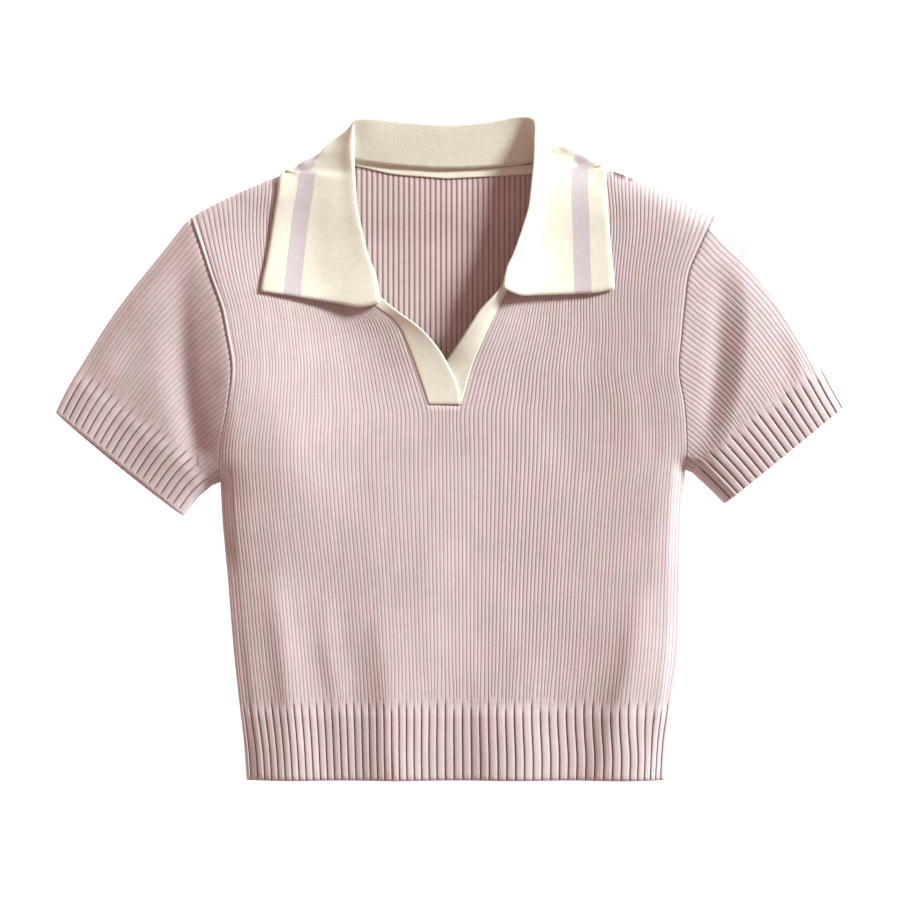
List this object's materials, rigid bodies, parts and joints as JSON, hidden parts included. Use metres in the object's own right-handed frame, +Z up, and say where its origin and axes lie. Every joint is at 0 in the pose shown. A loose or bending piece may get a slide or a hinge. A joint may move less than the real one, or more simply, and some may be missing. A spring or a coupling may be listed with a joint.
{
  "type": "polo shirt",
  "caption": "Cropped short-sleeved rib-knit polo laid flat on its back, with a striped fold-over collar, an open placket, broad-ribbed cuffs and a broad-ribbed hem band.",
  "frame": {"origin": "middle of the shirt's outline on the surface it lies on", "axes": "+Z up from the surface, +X towards the sleeve at the image's right, +Y from the hem towards the neck"},
  "size_m": [0.6486, 0.542, 0.0274],
  "materials": {
    "body_knit": "fine rib knit in pale dusty pink, matt with a soft sheen",
    "band_knit": "broad rounded rib knit in pale dusty pink, matt",
    "collar_knit": "fine flat knit in cream with one dusty pink stripe, matt",
    "placket_knit": "fine flat knit in cream, matt"
  },
  "bodies": {
    "root": {"front_panel": "body_knit", "back_panel": "body_knit", "sleeve_left": "body_knit", "sleeve_right": "body_knit", "hem_band_front": "band_knit", "hem_band_back": "band_knit", "cuff_left": "band_knit", "cuff_right": "band_knit", "collar": "collar_knit", "placket_left": "placket_knit", "placket_right": "placket_knit", "neck_seam_tape": "placket_knit"}
  },
  "joints": []
}
